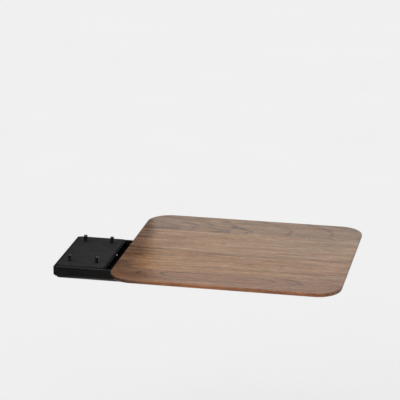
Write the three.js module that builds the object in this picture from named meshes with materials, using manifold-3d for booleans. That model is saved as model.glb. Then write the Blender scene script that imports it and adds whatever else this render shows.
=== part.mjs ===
// A nightstand shelf: a walnut board on a folded steel tray that bolts up under a support.
// Millimetres. +X points away from the support along the grain, +Y across the grain, +Z up.
// The origin is the middle of the seat, on top of its rubber pad, where the support's underside lies.

import * as THREE from 'three';
import { mergeVertices, toCreasedNormals } from 'three/addons/utils/BufferGeometryUtils.js';
import Module from 'manifold-3d';

const wasm = await Module();
wasm.setup();

// Fits shared by all pieces
const fitGap = 0.3; // air between two faces that touch
const cutOverrun = 2; // how far a cutter passes the face that it opens
const mergeTolerance = 0.00001; // corners of a mesh closer than this are one corner

// Walnut board
const boardLength = 450;
const boardDepth = 410;
const boardThickness = 24;
const boardCornerRadius = 48;
const boardEdgeHeight = 7.5; // upright edge, from the top face to the start of the under-bevel
const boardTopEase = 1.5; // rounding along the top edge
const boardLowerEase = 4.5; // rounding between the upright edge and the under-bevel
const boardBevelRun = 54; // how far the under-bevel reaches in below the board
const boardSmallestCorner = 3;

// Where the board stands to the support
const seatLip = 3.5; // from the end of the seat to the support's outer edge
const boardGap = 27.5; // from the support's outer edge to the board

// Folded steel tray
const sheetThickness = 3;
const insideBend = 4;
const trayWidth = 190;
const trayDepth = 25;
const trayShortfall = 75; // from the tray's end to the board's far edge
const foldSlit = 0.6; // slit between two walls that meet at a corner
const reliefWidth = 5; // notch beside a bend, where a flange starts
const reliefRadius = 4.5; // round corner relief where two bends meet

// Flanges that carry the board
const flangeWidth = 34; // from the wall's outer face to the flange's tip
const flangeInset = 6; // from the end of the under-bevel to the flange
const flangeCorner = 10;

// Seat, a plate and a rubber pad that bolt up under the support
const seatLength = 100;
const seatPlateThickness = 5;
const seatPlateCorner = 4;
const padThickness = 2;
const padMargin = 1.5; // how far the pad keeps back from the plate's edge
const boltEdgeX = 22; // from the plate's end to a bolt
const boltEdgeY = 30; // from the plate's side to a bolt

// Seat bolts, size M8
const boltRadius = 4;
const boltHeadFlats = 13;
const boltHeadHeight = 5.3;
const boltHeadChamfer = 0.6;
const boltReach = 13; // how far a bolt stands up past the pad, into the support
const boltTipChamfer = 1;
const boltHoleClearance = 0.5;
const padHoleClearance = 1.2;
const boltWasherRadius = 8;
const boltWasherThickness = 1.6;
const boltWasherClearance = 0.3;
const lockWasherRadius = 6.9;
const lockWasherThickness = 2;
const lockWasherSplit = 1.4;
const lockWasherSlant = Math.PI / 9;
const socketRoom = 3; // room for a spanner round the washer, in the slots of the tray's floor

// Board screws and their inserts, size M6
const screwRadius = 3;
const screwHeadRadius = 5.25;
const screwHeadHeight = 3.3;
const screwSocketFlats = 4;
const screwSocketDepth = 2;
const screwTipChamfer = 0.7;
const screwTipRoom = 3; // air left in the insert past the screw's tip
const screwEndInset = 24; // from the flange's end to the first screw
const screwWasherRadius = 9;
const screwWasherThickness = 1.6;
const screwWasherClearance = 0.3;
const slotClearance = 0.5; // half of what a slot is wider than its screw
const slotTravel = 3; // how far the board may move each way as it swells
const insertRadius = 5.7;
const insertSkin = 8; // wood left between an insert and the top face
const insertRecess = 0.5;
const insertBoreClearance = 0.3;
const insertChamfer = 0.8;
const insertGrooveDepth = 0.6;
const insertGroovePitch = 4;

// Counts and angles, which set how fine the facets are and how many pieces there are
const creaseAngle = Math.PI / 6;
const screwsPerFlange = 3;
const cornerSegments = 14;
const easeSegments = 4;
const lowerEaseSegments = 6;
const bendSegments = 6;
const roundSegments = 22;
const boreSegments = 16;
const holeSegments = 24;

// Heights, worked out from the support's underside at zero
const padTop = 0;
const plateTop = padTop - padThickness - fitGap;
const plateBottom = plateTop - seatPlateThickness;
const trayTop = plateTop;
const trayBottom = trayTop - trayDepth;
const trayFloorTop = trayBottom + sheetThickness;
const boardBottom = trayTop + fitGap;
const boardTop = boardBottom + boardThickness;

// Places along X
const seatEnd = seatLength / 2;
const boardStart = seatEnd + seatLip + boardGap;
const boardEnd = boardStart + boardLength;
const boardMiddle = boardStart + boardLength / 2;
const outsideBend = insideBend + sheetThickness;
const trayStart = -seatEnd - fitGap - sheetThickness;
const trayEnd = boardEnd - trayShortfall;
const foldStart = trayStart + outsideBend;
const foldEnd = trayEnd - outsideBend;
const flangeStart = boardStart + boardBevelRun + flangeInset;
const flangeEnd = foldEnd - outsideBend - reliefWidth;

// Places along Y
const trayHalf = trayWidth / 2;
const insideHalf = trayHalf - sheetThickness;
const foldHalf = trayHalf - outsideBend;
const flangeTip = trayHalf + flangeWidth;
const screwLine = trayHalf + (insideBend + flangeWidth) / 2;
const plateHalf = insideHalf - fitGap;

// Places of the seat bolts on either side of the seat's middle
const boltX = seatEnd - boltEdgeX;
const boltY = plateHalf - boltEdgeY;

const walnut = new THREE.MeshStandardMaterial({ color: 0x87654c, roughness: 0.4, metalness: 0 });
const blackSteel = new THREE.MeshStandardMaterial({ color: 0x1d1b19, roughness: 0.5, metalness: 0.3 });
const rubber = new THREE.MeshStandardMaterial({ color: 0x161616, roughness: 0.9, metalness: 0 });
const blackZinc = new THREE.MeshStandardMaterial({ color: 0x5c5d5f, roughness: 0.35, metalness: 1 });
const blackScrew = new THREE.MeshStandardMaterial({ color: 0x151515, roughness: 0.4, metalness: 0.8 });
const brass = new THREE.MeshStandardMaterial({ color: 0xb08d4a, roughness: 0.35, metalness: 1 });

const shelf = new THREE.Group();
shelf.name = 'bedside_shelf';

// Turns a closed three.js geometry into a solid that can be cut and joined.
function solidOf(geometry) {
  const bare = geometry.clone();
  bare.deleteAttribute('normal');
  bare.deleteAttribute('uv');
  const merged = mergeVertices(bare, mergeTolerance);
  return new wasm.Manifold(new wasm.Mesh({
    numProp: 3,
    vertProperties: new Float32Array(merged.attributes.position.array),
    triVerts: new Uint32Array(merged.index.array),
  }));
}

// Turns a solid back into a geometry with creased normals.
function geometryOf(solid) {
  const mesh = solid.getMesh();
  const geometry = new THREE.BufferGeometry();
  geometry.setAttribute('position', new THREE.BufferAttribute(mesh.vertProperties, 3));
  geometry.setIndex(new THREE.BufferAttribute(mesh.triVerts, 1));
  return toCreasedNormals(geometry, creaseAngle);
}

// Adds one named piece to the shelf.
function addPiece(name, geometry, material, x = 0, y = 0, z = 0) {
  const mesh = new THREE.Mesh(geometry, material);
  mesh.name = name;
  mesh.position.set(x, y, z);
  shelf.add(mesh);
}

// A rectangle about the origin with round corners.
function roundedRectangle(halfX, halfY, radius) {
  const shape = new THREE.Shape();
  shape.absarc(halfX - radius, halfY - radius, radius, 0, Math.PI / 2);
  shape.absarc(radius - halfX, halfY - radius, radius, Math.PI / 2, Math.PI);
  shape.absarc(radius - halfX, radius - halfY, radius, Math.PI, Math.PI * 1.5);
  shape.absarc(halfX - radius, radius - halfY, radius, Math.PI * 1.5, Math.PI * 2);
  return shape;
}

// Extrudes a shape upwards from a height.
function upright(shape, bottom, height, segments = cornerSegments) {
  const geometry = new THREE.ExtrudeGeometry(shape, {
    depth: height,
    bevelEnabled: false,
    curveSegments: segments,
  });
  return geometry.translate(0, 0, bottom);
}

// A straight block between two corners.
function block(x0, x1, y0, y1, z0, z1) {
  const geometry = new THREE.BoxGeometry(x1 - x0, y1 - y0, z1 - z0);
  return geometry.translate((x0 + x1) / 2, (y0 + y1) / 2, (z0 + z1) / 2);
}

// A round cutter with its axis along Z.
function roundCutter(x, y, radius, bottom, top, segments = boreSegments) {
  const geometry = new THREE.CylinderGeometry(radius, radius, top - bottom, segments);
  geometry.rotateX(Math.PI / 2);
  return solidOf(geometry.translate(x, y, (bottom + top) / 2));
}

// Revolves a closed outline of [radius, height] points about Z.
function revolved(points, segments = roundSegments) {
  const outline = points.map(([radius, height]) => new THREE.Vector2(radius, height));
  return new THREE.LatheGeometry(outline, segments).rotateX(Math.PI / 2);
}

// The section of a sheet that is folded along a path. The walk starts on the sheet's middle line and takes
// straight runs and bends in turn; each bend keeps the inside radius, and the two faces are offset from it.
function foldedSection(startX, startY, heading, steps) {
  const middleBend = insideBend + sheetThickness / 2;
  const leftFace = [];
  const rightFace = [];
  let x = startX;
  let y = startY;
  let angle = heading;
  const mark = () => {
    const acrossX = -Math.sin(angle) * sheetThickness / 2;
    const acrossY = Math.cos(angle) * sheetThickness / 2;
    leftFace.push(new THREE.Vector2(x + acrossX, y + acrossY));
    rightFace.push(new THREE.Vector2(x - acrossX, y - acrossY));
  };
  mark();
  for (const step of steps) {
    if (step.run !== undefined) {
      x += Math.cos(angle) * step.run;
      y += Math.sin(angle) * step.run;
      mark();
    } else {
      const side = Math.sign(step.bend);
      const centreX = x - Math.sin(angle) * side * middleBend;
      const centreY = y + Math.cos(angle) * side * middleBend;
      for (let i = 1; i <= bendSegments; i++) {
        angle += step.bend / bendSegments;
        x = centreX + Math.sin(angle) * side * middleBend;
        y = centreY - Math.cos(angle) * side * middleBend;
        mark();
      }
    }
  }
  return new THREE.Shape([...leftFace, ...rightFace.reverse()]);
}

// Extrudes a section drawn in Y and Z along X.
function alongX(section, x0, x1) {
  const geometry = new THREE.ExtrudeGeometry(section, { depth: x1 - x0, bevelEnabled: false });
  const turn = new THREE.Matrix4().makeBasis(
    new THREE.Vector3(0, 1, 0),
    new THREE.Vector3(0, 0, 1),
    new THREE.Vector3(1, 0, 0),
  );
  return solidOf(geometry.applyMatrix4(turn).translate(x0, 0, 0));
}

// Extrudes a section drawn in X and Z along Y, centred on the middle of the shelf.
function alongY(section, half) {
  const geometry = new THREE.ExtrudeGeometry(section, { depth: 2 * half, bevelEnabled: false });
  const turn = new THREE.Matrix4().makeBasis(
    new THREE.Vector3(1, 0, 0),
    new THREE.Vector3(0, 0, 1),
    new THREE.Vector3(0, -1, 0),
  );
  return solidOf(geometry.applyMatrix4(turn).translate(0, half, 0));
}

// The places of the screws, the same for slots, washers, screws and inserts.
function screwPlaces() {
  const places = [];
  const first = flangeStart + screwEndInset;
  const last = flangeEnd - screwEndInset;
  for (const side of [-1, 1]) {
    for (let i = 0; i < screwsPerFlange; i++) {
      const along = i / (screwsPerFlange - 1);
      places.push([first + (last - first) * along, side * screwLine]);
    }
  }
  return places;
}

// The places of the four seat bolts.
function boltPlaces() {
  return [[-boltX, -boltY], [boltX, -boltY], [-boltX, boltY], [boltX, boltY]];
}

// One ring of the board: its outline, drawn in by an inset, at a height.
function boardRing(inset, height) {
  const radius = Math.max(boardCornerRadius - inset, boardSmallestCorner);
  const halfX = boardLength / 2 - inset;
  const halfY = boardDepth / 2 - inset;
  const ring = [];
  const corners = [[1, 1], [-1, 1], [-1, -1], [1, -1]];
  corners.forEach(([signX, signY], quarter) => {
    for (let i = 0; i <= cornerSegments; i++) {
      const angle = (quarter + i / cornerSegments) * Math.PI / 2;
      const x = signX * (halfX - radius) + radius * Math.cos(angle);
      const y = signY * (halfY - radius) + radius * Math.sin(angle);
      ring.push([x, y, height]);
    }
  });
  return ring;
}

// The board's edge in section, from the top face to the flat underside, as [inset, height] pairs.
function boardEdgeSection() {
  const bevelDrop = boardThickness - boardEdgeHeight;
  const bevelTurn = Math.atan2(boardBevelRun, bevelDrop); // how far the edge turns under
  const tangent = boardLowerEase * Math.tan(bevelTurn / 2);
  const lowerCentre = boardTop - boardEdgeHeight + tangent;
  const section = [];
  for (let i = 0; i <= easeSegments; i++) {
    const angle = (1 - i / easeSegments) * Math.PI / 2;
    const inset = boardTopEase * (1 - Math.cos(angle));
    section.push([inset, boardTop - boardTopEase * (1 - Math.sin(angle))]);
  }
  for (let i = 0; i <= lowerEaseSegments; i++) {
    const angle = bevelTurn * i / lowerEaseSegments;
    const inset = boardLowerEase * (1 - Math.cos(angle));
    section.push([inset, lowerCentre - boardLowerEase * Math.sin(angle)]);
  }
  section.push([boardBevelRun, boardBottom]);
  return section;
}

// The board is a stack of rings, closed with a fan on its top face and on its underside.
function makeBoard() {
  const rings = boardEdgeSection().map(([inset, height]) => boardRing(inset, height));
  const count = rings[0].length;
  const positions = rings.flat(2);
  const faces = [];
  for (let r = 0; r < rings.length - 1; r++) {
    for (let i = 0; i < count; i++) {
      const next = (i + 1) % count;
      const upper = r * count;
      const lower = (r + 1) * count;
      faces.push(upper + i, lower + i, lower + next);
      faces.push(upper + i, lower + next, upper + next);
    }
  }
  const topCentre = positions.length / 3;
  const bottomCentre = topCentre + 1;
  positions.push(0, 0, boardTop, 0, 0, boardBottom);
  const lastRing = (rings.length - 1) * count;
  for (let i = 0; i < count; i++) {
    const next = (i + 1) % count;
    faces.push(topCentre, i, next);
    faces.push(bottomCentre, lastRing + next, lastRing + i);
  }
  const geometry = new THREE.BufferGeometry();
  geometry.setAttribute('position', new THREE.Float32BufferAttribute(positions, 3));
  geometry.setIndex(faces);
  let board = solidOf(geometry.translate(boardMiddle, 0, 0));
  const holeTop = boardTop - insertSkin + fitGap;
  for (const [x, y] of screwPlaces()) {
    const hole = roundCutter(x, y, insertRadius + fitGap, boardBottom - cutOverrun, holeTop);
    board = board.subtract(hole);
  }
  return geometryOf(board);
}

// The tray's long parts: a floor with two walls, and beyond the under-bevel a floor with flanged walls.
function trayTrough() {
  const wallRun = trayDepth - outsideBend;
  const floorRun = trayWidth - 2 * outsideBend;
  const flangeRun = flangeWidth - insideBend;
  const lowWallRun = wallRun - outsideBend;
  const turn = Math.PI / 2;
  const wallMiddle = sheetThickness / 2 - trayHalf;
  const walls = foldedSection(wallMiddle, trayTop, -turn, [
    { run: wallRun }, { bend: turn }, { run: floorRun }, { bend: turn }, { run: wallRun },
  ]);
  const lowWalls = foldedSection(wallMiddle, trayTop - outsideBend, -turn, [
    { run: lowWallRun }, { bend: turn }, { run: floorRun }, { bend: turn }, { run: lowWallRun },
  ]);
  const flanged = foldedSection(-flangeTip, trayTop - sheetThickness / 2, 0, [
    { run: flangeRun }, { bend: -turn }, { run: lowWallRun }, { bend: turn }, { run: floorRun },
    { bend: turn }, { run: lowWallRun }, { bend: -turn }, { run: flangeRun },
  ]);
  return alongX(lowWalls, foldStart, foldEnd)
    .add(alongX(walls, foldStart, flangeStart - reliefWidth))
    .add(alongX(flanged, flangeStart, flangeEnd));
}

// An end wall, folded up from the floor. The side walls run on to it above the bends.
function trayEnds() {
  const wallRun = trayDepth - outsideBend;
  const turn = Math.PI / 2;
  const floorMiddle = trayBottom + sheetThickness / 2;
  const seatSideEnd = foldedSection(foldStart + outsideBend, floorMiddle, Math.PI, [
    { run: outsideBend }, { bend: -turn }, { run: wallRun },
  ]);
  const boardSideEnd = foldedSection(foldEnd - outsideBend, floorMiddle, 0, [
    { run: outsideBend }, { bend: turn }, { run: wallRun },
  ]);
  const bendTop = trayBottom + outsideBend;
  const wallSeatEnd = trayStart + sheetThickness + foldSlit;
  const wallBoardEnd = trayEnd - sheetThickness - foldSlit;
  let ends = alongY(seatSideEnd, foldHalf).add(alongY(boardSideEnd, foldHalf));
  for (const [x0, x1] of [[trayStart, trayStart + sheetThickness], [trayEnd - sheetThickness, trayEnd]]) {
    ends = ends.add(solidOf(block(x0, x1, -trayHalf, trayHalf, bendTop, trayTop)));
  }
  for (const [x0, x1] of [[wallSeatEnd, foldStart + outsideBend], [flangeEnd + reliefWidth, wallBoardEnd]]) {
    for (const [y0, y1] of [[-trayHalf, -insideHalf], [insideHalf, trayHalf]]) {
      ends = ends.add(solidOf(block(x0, x1, y0, y1, bendTop, trayTop)));
    }
  }
  return ends;
}

// The flanges' slots run across the grain, so that the board can swell and shrink.
function slotCutter(x, y) {
  const radius = screwRadius + slotClearance;
  const shape = new THREE.Shape();
  shape.absarc(x, y + slotTravel, radius, 0, Math.PI);
  shape.absarc(x, y - slotTravel, radius, Math.PI, Math.PI * 2);
  const bottom = trayTop - sheetThickness - cutOverrun;
  return solidOf(upright(shape, bottom, sheetThickness + 2 * cutOverrun, boreSegments / 2));
}

// What a flange's square tip loses for its round corner.
function flangeCornerCutter(x, signX, signY) {
  const y = signY * flangeTip;
  const reachX = x + signX * cutOverrun;
  const reachY = y + signY * cutOverrun;
  const corner = block(
    Math.min(x - signX * flangeCorner, reachX),
    Math.max(x - signX * flangeCorner, reachX),
    Math.min(y - signY * flangeCorner, reachY),
    Math.max(y - signY * flangeCorner, reachY),
    trayTop - sheetThickness - cutOverrun,
    trayTop + cutOverrun,
  );
  const round = roundCutter(
    x - signX * flangeCorner,
    y - signY * flangeCorner,
    flangeCorner,
    trayTop - sheetThickness - 2 * cutOverrun,
    trayTop + 2 * cutOverrun,
    roundSegments,
  );
  return solidOf(corner).subtract(round);
}

// A long slot in the tray's floor, below a pair of seat bolts, that lets a socket spanner in.
function spannerSlotCutter(y) {
  const radius = boltWasherRadius + socketRoom;
  const shape = new THREE.Shape();
  shape.absarc(boltX, y, radius, -Math.PI / 2, Math.PI / 2);
  shape.absarc(-boltX, y, radius, Math.PI / 2, Math.PI * 1.5);
  const bottom = trayBottom - cutOverrun;
  return solidOf(upright(shape, bottom, sheetThickness + 2 * cutOverrun, holeSegments / 2));
}

// The folded tray with its slots, corner reliefs and round flange tips.
function makeTray() {
  let tray = trayTrough().add(trayEnds());
  for (const [x, y] of screwPlaces()) {
    tray = tray.subtract(slotCutter(x, y));
  }
  for (const y of [-boltY, boltY]) {
    tray = tray.subtract(spannerSlotCutter(y));
  }
  for (const x of [foldStart, foldEnd]) {
    for (const y of [-foldHalf, foldHalf]) {
      const bottom = trayBottom - cutOverrun;
      tray = tray.subtract(roundCutter(x, y, reliefRadius, bottom, trayFloorTop + insideBend));
    }
  }
  for (const signY of [-1, 1]) {
    tray = tray.subtract(flangeCornerCutter(flangeStart, -1, signY));
    tray = tray.subtract(flangeCornerCutter(flangeEnd, 1, signY));
  }
  return geometryOf(tray);
}

// A flat sheet of the seat's outline with the four bolt holes.
function seatSheet(margin, bottom, thickness, holeRadius) {
  const shape = roundedRectangle(seatEnd - margin, plateHalf - margin, seatPlateCorner);
  let sheet = solidOf(upright(shape, bottom, thickness, bendSegments));
  for (const [x, y] of boltPlaces()) {
    const hole = roundCutter(x, y, holeRadius, bottom - cutOverrun, bottom + thickness + cutOverrun);
    sheet = sheet.subtract(hole);
  }
  return geometryOf(sheet);
}

// A hexagon bolt with its head down. Its own origin is the seat of its head.
function makeBolt(shankLength) {
  const cornerReach = boltHeadFlats / Math.sqrt(3);
  const head = new THREE.CylinderGeometry(cornerReach, cornerReach, boltHeadHeight, 6).rotateX(Math.PI / 2);
  head.translate(0, 0, -boltHeadHeight / 2);
  const dome = revolved([
    [0, 0],
    [cornerReach, 0],
    [cornerReach, boltHeadChamfer - boltHeadHeight],
    [boltHeadFlats / 2 - boltHeadChamfer, -boltHeadHeight],
    [0, -boltHeadHeight],
  ].reverse());
  const shank = revolved([
    [0, -boltHeadHeight / 2],
    [boltRadius, -boltHeadHeight / 2],
    [boltRadius, shankLength - boltTipChamfer],
    [boltRadius - boltTipChamfer, shankLength],
    [0, shankLength],
  ], boreSegments);
  return geometryOf(solidOf(head).intersect(solidOf(dome)).add(solidOf(shank)));
}

// A flat ring about Z that rests on its own origin plane.
function makeWasher(innerRadius, outerRadius, thickness) {
  return revolved([
    [innerRadius, 0],
    [outerRadius, 0],
    [outerRadius, thickness],
    [innerRadius, thickness],
    [innerRadius, 0],
  ]);
}

// A spring washer is a ring with one slanting split.
function makeLockWasher() {
  const inner = boltRadius + boltWasherClearance;
  const ring = solidOf(makeWasher(inner, lockWasherRadius, lockWasherThickness));
  const reach = lockWasherRadius + cutOverrun;
  const split = block(0, reach, -lockWasherSplit / 2, lockWasherSplit / 2, -reach, reach);
  split.rotateX(lockWasherSlant).translate(0, 0, lockWasherThickness / 2);
  return geometryOf(ring.subtract(solidOf(split)));
}

// A button-head screw with a hexagon socket. Its own origin is the seat of its head.
function makeScrew(shankLength) {
  const crown = [];
  for (let i = 0; i <= bendSegments; i++) {
    const angle = i / bendSegments * Math.PI / 2;
    crown.push([screwHeadRadius * Math.cos(angle), -screwHeadHeight * Math.sin(angle)]);
  }
  crown[crown.length - 1][0] = 0;
  const body = revolved([
    ...crown.reverse(),
    [screwRadius, 0],
    [screwRadius, shankLength - screwTipChamfer],
    [screwRadius - screwTipChamfer, shankLength],
    [0, shankLength],
  ], boreSegments);
  const socketReach = screwSocketFlats / Math.sqrt(3);
  const socketLength = screwSocketDepth + cutOverrun;
  const socket = new THREE.CylinderGeometry(socketReach, socketReach, socketLength, 6).rotateX(Math.PI / 2);
  socket.translate(0, 0, screwSocketDepth - screwHeadHeight - socketLength / 2);
  return geometryOf(solidOf(body).subtract(solidOf(socket)));
}

// A threaded insert: a sleeve with coarse outside ribs that bite the wood. It stands on its own origin plane.
function makeInsert(length) {
  const bore = screwRadius + insertBoreClearance;
  const outline = [[bore, 0], [insertRadius - insertChamfer, 0], [insertRadius, insertChamfer]];
  const ribbedLength = length - 2 * insertChamfer;
  const ribs = Math.max(1, Math.floor(ribbedLength / insertGroovePitch));
  const pitch = ribbedLength / ribs;
  for (let i = 0; i < ribs; i++) {
    const start = insertChamfer + i * pitch;
    outline.push([insertRadius, start + pitch / 4]);
    outline.push([insertRadius - insertGrooveDepth, start + pitch / 2]);
    outline.push([insertRadius, start + pitch * 3 / 4]);
  }
  outline.push([insertRadius, length - insertChamfer]);
  outline.push([insertRadius - insertChamfer, length]);
  outline.push([bore, length]);
  outline.push([bore, 0]);
  return revolved(outline, boreSegments);
}

// Seat hardware: a flat washer lies under the plate, then the spring washer, then the bolt's head.
function addSeatHardware() {
  const washerBottom = plateBottom - fitGap - boltWasherThickness;
  const lockBottom = washerBottom - fitGap - lockWasherThickness;
  const headSeat = lockBottom - fitGap;
  const bolt = makeBolt(padTop + boltReach - headSeat);
  const washer = makeWasher(boltRadius + boltWasherClearance, boltWasherRadius, boltWasherThickness);
  const lockWasher = makeLockWasher();
  boltPlaces().forEach(([x, y], index) => {
    const number = index + 1;
    addPiece(`rail_bolt_${number}`, bolt, blackZinc, x, y, headSeat);
    addPiece(`rail_washer_${number}`, washer, blackZinc, x, y, washerBottom);
    addPiece(`rail_lock_washer_${number}`, lockWasher, blackZinc, x, y, lockBottom);
  });
}

// Board hardware: an insert in the board, and a wide washer and a screw under the flange.
function addBoardHardware() {
  const flangeBottom = trayTop - sheetThickness;
  const washerBottom = flangeBottom - fitGap - screwWasherThickness;
  const headSeat = washerBottom - fitGap;
  const insertBottom = boardBottom + insertRecess;
  const insertTop = boardTop - insertSkin;
  const screw = makeScrew(insertTop - screwTipRoom - headSeat);
  const washer = makeWasher(screwRadius + screwWasherClearance, screwWasherRadius, screwWasherThickness);
  const insert = makeInsert(insertTop - insertBottom);
  screwPlaces().forEach(([x, y], index) => {
    const number = index + 1;
    addPiece(`board_insert_${number}`, insert, brass, x, y, insertBottom);
    addPiece(`board_screw_${number}`, screw, blackScrew, x, y, headSeat);
    addPiece(`board_washer_${number}`, washer, blackScrew, x, y, washerBottom);
  });
}

const padBottom = padTop - padThickness;
const plateHole = boltRadius + boltHoleClearance;
const padHole = boltRadius + padHoleClearance;
addPiece('top_board', makeBoard(), walnut);
addPiece('bracket_tray', makeTray(), blackSteel);
addPiece('rail_plate', seatSheet(0, plateBottom, seatPlateThickness, plateHole), blackSteel);
addPiece('rail_pad', seatSheet(padMargin, padBottom, padThickness, padHole), rubber);
addSeatHardware();
addBoardHardware();

export default shelf;
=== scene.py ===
# %% [markdown]
# # A walnut nightstand shelf on a folded steel tray
# The shelf has no legs: it bolts up under a support, and its board floats beside it. The board is glued up
# from four walnut staves, and a black folded tray runs from under the support to under the board. This
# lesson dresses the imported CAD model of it. The model is the frame: every piece takes its place from it, in
# metres, with +X along the grain and away from the support, +Y across the grain and +Z up.

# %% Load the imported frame
from math import atan2, cos, pi, radians, sin, tan

import bmesh
import bpy
import numpy as np
from mathutils import Matrix, Vector


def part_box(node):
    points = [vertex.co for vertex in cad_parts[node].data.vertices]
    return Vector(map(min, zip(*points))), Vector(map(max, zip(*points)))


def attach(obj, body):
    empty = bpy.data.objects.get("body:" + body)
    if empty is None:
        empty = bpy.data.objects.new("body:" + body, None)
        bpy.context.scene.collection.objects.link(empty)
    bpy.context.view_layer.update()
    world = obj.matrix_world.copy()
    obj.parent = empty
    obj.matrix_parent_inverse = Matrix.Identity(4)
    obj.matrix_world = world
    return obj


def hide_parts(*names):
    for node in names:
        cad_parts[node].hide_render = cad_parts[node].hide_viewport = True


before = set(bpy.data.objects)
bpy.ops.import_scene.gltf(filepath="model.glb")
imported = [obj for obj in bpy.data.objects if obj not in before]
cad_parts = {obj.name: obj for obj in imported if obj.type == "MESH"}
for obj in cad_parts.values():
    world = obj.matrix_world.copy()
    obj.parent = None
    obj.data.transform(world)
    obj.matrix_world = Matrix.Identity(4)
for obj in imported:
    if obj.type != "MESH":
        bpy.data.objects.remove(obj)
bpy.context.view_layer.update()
mm = 0.001

# %% [markdown]
# ## The camera
# The photograph looks down on the shelf from its front right, with a long lens. A long lens keeps the
# board's sides almost parallel, and its camera stands far back: 3.7 metres from the middle of the board.

# %% Place the camera
camera_place = (0.91783, -3.43403, 1.22538)
camera_yaw = radians(-11.421)
camera_pitch = radians(17.441)
camera_roll = radians(0.299)
camera_lens = 166.59
sensor_width = 36


def camera_axes(yaw, pitch, roll):
    """Right, up and forward of a camera that is turned by yaw from +Y, tipped down by pitch, then rolled."""
    forward = Vector((sin(yaw) * cos(pitch), cos(yaw) * cos(pitch), -sin(pitch)))
    level = Vector((cos(yaw), -sin(yaw), 0))
    upward = level.cross(forward)
    return level * cos(roll) + upward * sin(roll), upward * cos(roll) - level * sin(roll), forward


right, upward, forward = camera_axes(camera_yaw, camera_pitch, camera_roll)
camera = bpy.data.objects.new("camera", bpy.data.cameras.new("camera"))
bpy.context.scene.collection.objects.link(camera)
camera_turn = Matrix((right, upward, -forward)).transposed().to_4x4()
camera.matrix_world = Matrix.Translation(camera_place) @ camera_turn
camera.data.lens = camera_lens
camera.data.sensor_width = sensor_width
bpy.context.scene.camera = camera
print("camera at", camera_place, "lens", camera_lens, "mm")

# %% [markdown]
# ## Shaders made of small steps
# Every finish below is a graph of nodes. Written by hand such a graph is long, so a few helpers each add
# one node and hand back its output. A value that is the same all over stays on the shader's own socket.

# %% Helpers for shader nodes
def wire(tree, socket, term):
    """Gives a socket a plain value, or joins another node's output to it."""
    if isinstance(term, bpy.types.NodeSocket):
        tree.links.new(term, socket)
    else:
        socket.default_value = term


def maths(tree, operation, *terms):
    """One step of arithmetic on numbers or on other nodes' outputs."""
    step = tree.nodes.new("ShaderNodeMath")
    step.operation = operation
    for socket, term in zip(step.inputs, terms):
        wire(tree, socket, term)
    return step.outputs[0]


def vector_maths(tree, operation, *terms):
    """One step of arithmetic on points."""
    step = tree.nodes.new("ShaderNodeVectorMath")
    step.operation = operation
    for socket, term in zip(step.inputs, terms):
        wire(tree, socket, term)
    return step.outputs[0]


def noise(tree, place, scale, detail=2.0, roughness=0.5):
    """Soft random clouds between 0 and 1, about one over scale apart."""
    step = tree.nodes.new("ShaderNodeTexNoise")
    wire(tree, step.inputs["Vector"], place)
    step.inputs["Scale"].default_value = scale
    step.inputs["Detail"].default_value = detail
    step.inputs["Roughness"].default_value = roughness
    return step.outputs["Fac"]


def spread(tree, value, low, high, new_low=0.0, new_high=1.0):
    """Moves a value from one range to another and holds it there."""
    step = tree.nodes.new("ShaderNodeMapRange")
    for socket, term in zip(step.inputs, (value, low, high, new_low, new_high)):
        wire(tree, socket, term)
    return step.outputs[0]


def ramp(tree, value, *stops):
    """A grey or coloured scale with stops of (position, colour)."""
    step = tree.nodes.new("ShaderNodeValToRGB")
    wire(tree, step.inputs[0], value)
    keys = step.color_ramp.elements
    while len(keys) < len(stops):
        keys.new(0.5)
    for key, (position, colour) in zip(keys, stops):
        key.position = position
        key.color = colour if isinstance(colour, tuple) else (colour,) * 3 + (1,)
    return step.outputs[0]


def mix(tree, share, first, second, blend="MIX"):
    """Two colours mixed by a share from 0, all the first, to 1."""
    step = tree.nodes.new("ShaderNodeMix")
    step.data_type = "RGBA"
    step.blend_type = blend
    for socket, term in zip((step.inputs[0], step.inputs[6], step.inputs[7]), (share, first, second)):
        wire(tree, socket, (*term, 1) if isinstance(term, tuple) and len(term) == 3 else term)
    return step.outputs[2]


def bump(tree, shader, height, depth):
    """Raises the surface by a height from 0 to 1 times a depth in metres."""
    step = tree.nodes.new("ShaderNodeBump")
    step.inputs["Distance"].default_value = depth
    wire(tree, step.inputs["Height"], height)
    tree.links.new(step.outputs[0], shader.inputs["Normal"])


def new_finish(name, colour, roughness, metallic=0.0, specular=0.5):
    """A material with plain values on its one shader. Returns it with its tree, shader and object place."""
    finish = bpy.data.materials.new(name)
    finish.use_nodes = True
    tree = finish.node_tree
    shader = tree.nodes["Principled BSDF"]
    shader.inputs["Base Color"].default_value = (*colour, 1)
    shader.inputs["Roughness"].default_value = roughness
    shader.inputs["Metallic"].default_value = metallic
    shader.inputs["Specular IOR Level"].default_value = specular
    place = tree.nodes.new("ShaderNodeTexCoord").outputs["Object"]
    return finish, tree, shader, place


print("shader helpers ready")

# %% [markdown]
# ## Floor and light
# A product photograph like this one has a seamless pale floor and light from all around. A sun lamp with a
# very wide disc lights every place on the floor alike, and a plain world fills the shadows. Camera and
# mirror rays see the world as pale as the floor, so metal reflects the same studio.

# %% Lay the floor and set the lights
studio_white = (0.86, 0.86, 0.86)
speckle_range = (0.855, 0.865)
floor_height = -0.60
floor_reach = 60.0
world_level = 0.72
sun_level = 1.15
sun_disc = radians(70)
sun_place = Vector((-0.55, -0.75, 1.25))

floor_mesh = bpy.data.meshes.new("studio_floor")
corners = floor_reach * np.array([(-1, -1), (1, -1), (1, 1), (-1, 1)])
floor_mesh.from_pydata(np.c_[corners, np.full(4, floor_height)].tolist(), [], [(0, 1, 2, 3)])
floor = bpy.data.objects.new("studio_floor", floor_mesh)
bpy.context.scene.collection.objects.link(floor)


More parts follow.
